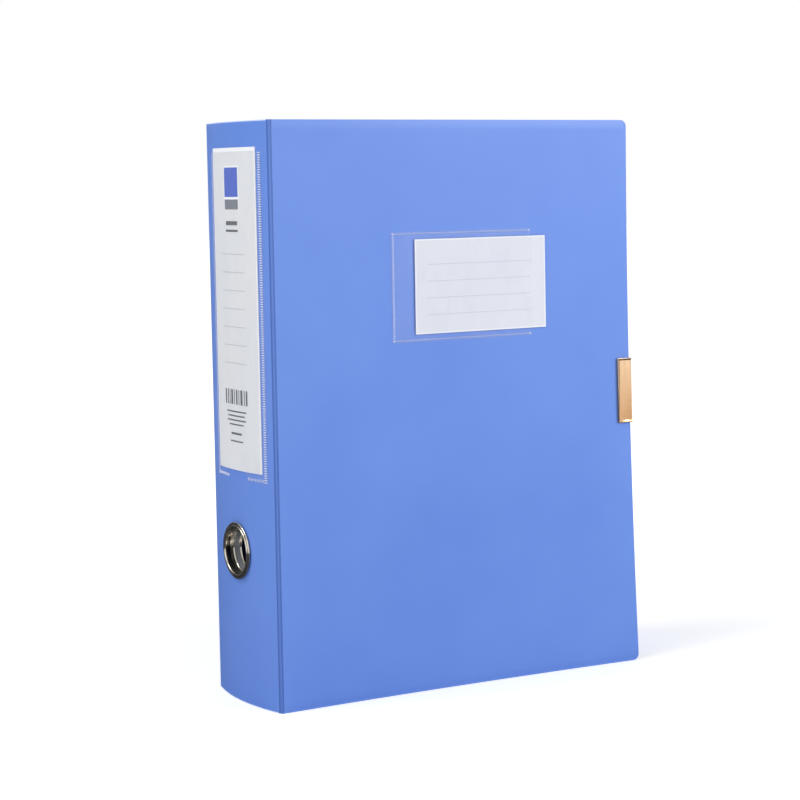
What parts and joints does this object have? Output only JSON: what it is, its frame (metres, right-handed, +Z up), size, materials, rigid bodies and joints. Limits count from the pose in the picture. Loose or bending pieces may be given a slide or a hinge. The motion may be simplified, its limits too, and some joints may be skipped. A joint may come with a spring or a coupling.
{
  "type": "box file",
  "caption": "Upright A4 box file of folded polypropylene with a bowed spine, finger ring, clear label pockets, metal edge clasp and an opening cover",
  "frame": {"origin": "under the middle of the object's box, on the surface that it stands on", "axes": "+Z up along the height; +X from the spine to the fore-edge; +Y from the front cover to the back panel"},
  "size_m": [0.2436, 0.0774, 0.32],
  "materials": {
    "sheet": "satin frosted polypropylene sheet",
    "clear_film": "clear glossy film",
    "card": "white matt card",
    "ring_metal": "polished nickel plate",
    "clasp_metal": "polished pale gold plate",
    "magnet": "dark plated magnet"
  },
  "bodies": {
    "tray": {"back_panel": "sheet", "wall_strip": "sheet", "clasp_magnet": "magnet"},
    "spine": {"spine_panel": "sheet", "finger_ring": "ring_metal", "finger_ring_collar": "ring_metal", "spine_label_card": "card", "spine_pocket_film": "clear_film"},
    "cover": {"front_cover": "sheet", "cover_label_card": "card", "cover_pocket_film": "clear_film", "edge_clasp": "clasp_metal"}
  },
  "joints": [
    {"name": "spine_fold", "type": "hinge", "parent": "tray", "child": "spine", "pos_m": [-0.11355, 0.0388, 0], "axis": [0, 0, -1], "range_deg": [0, 90]},
    {"name": "cover_fold", "type": "hinge", "parent": "spine", "child": "cover", "pos_m": [-0.11345, -0.0374, 0], "axis": [0, 0, -1], "range_deg": [0, 180]}
  ]
}
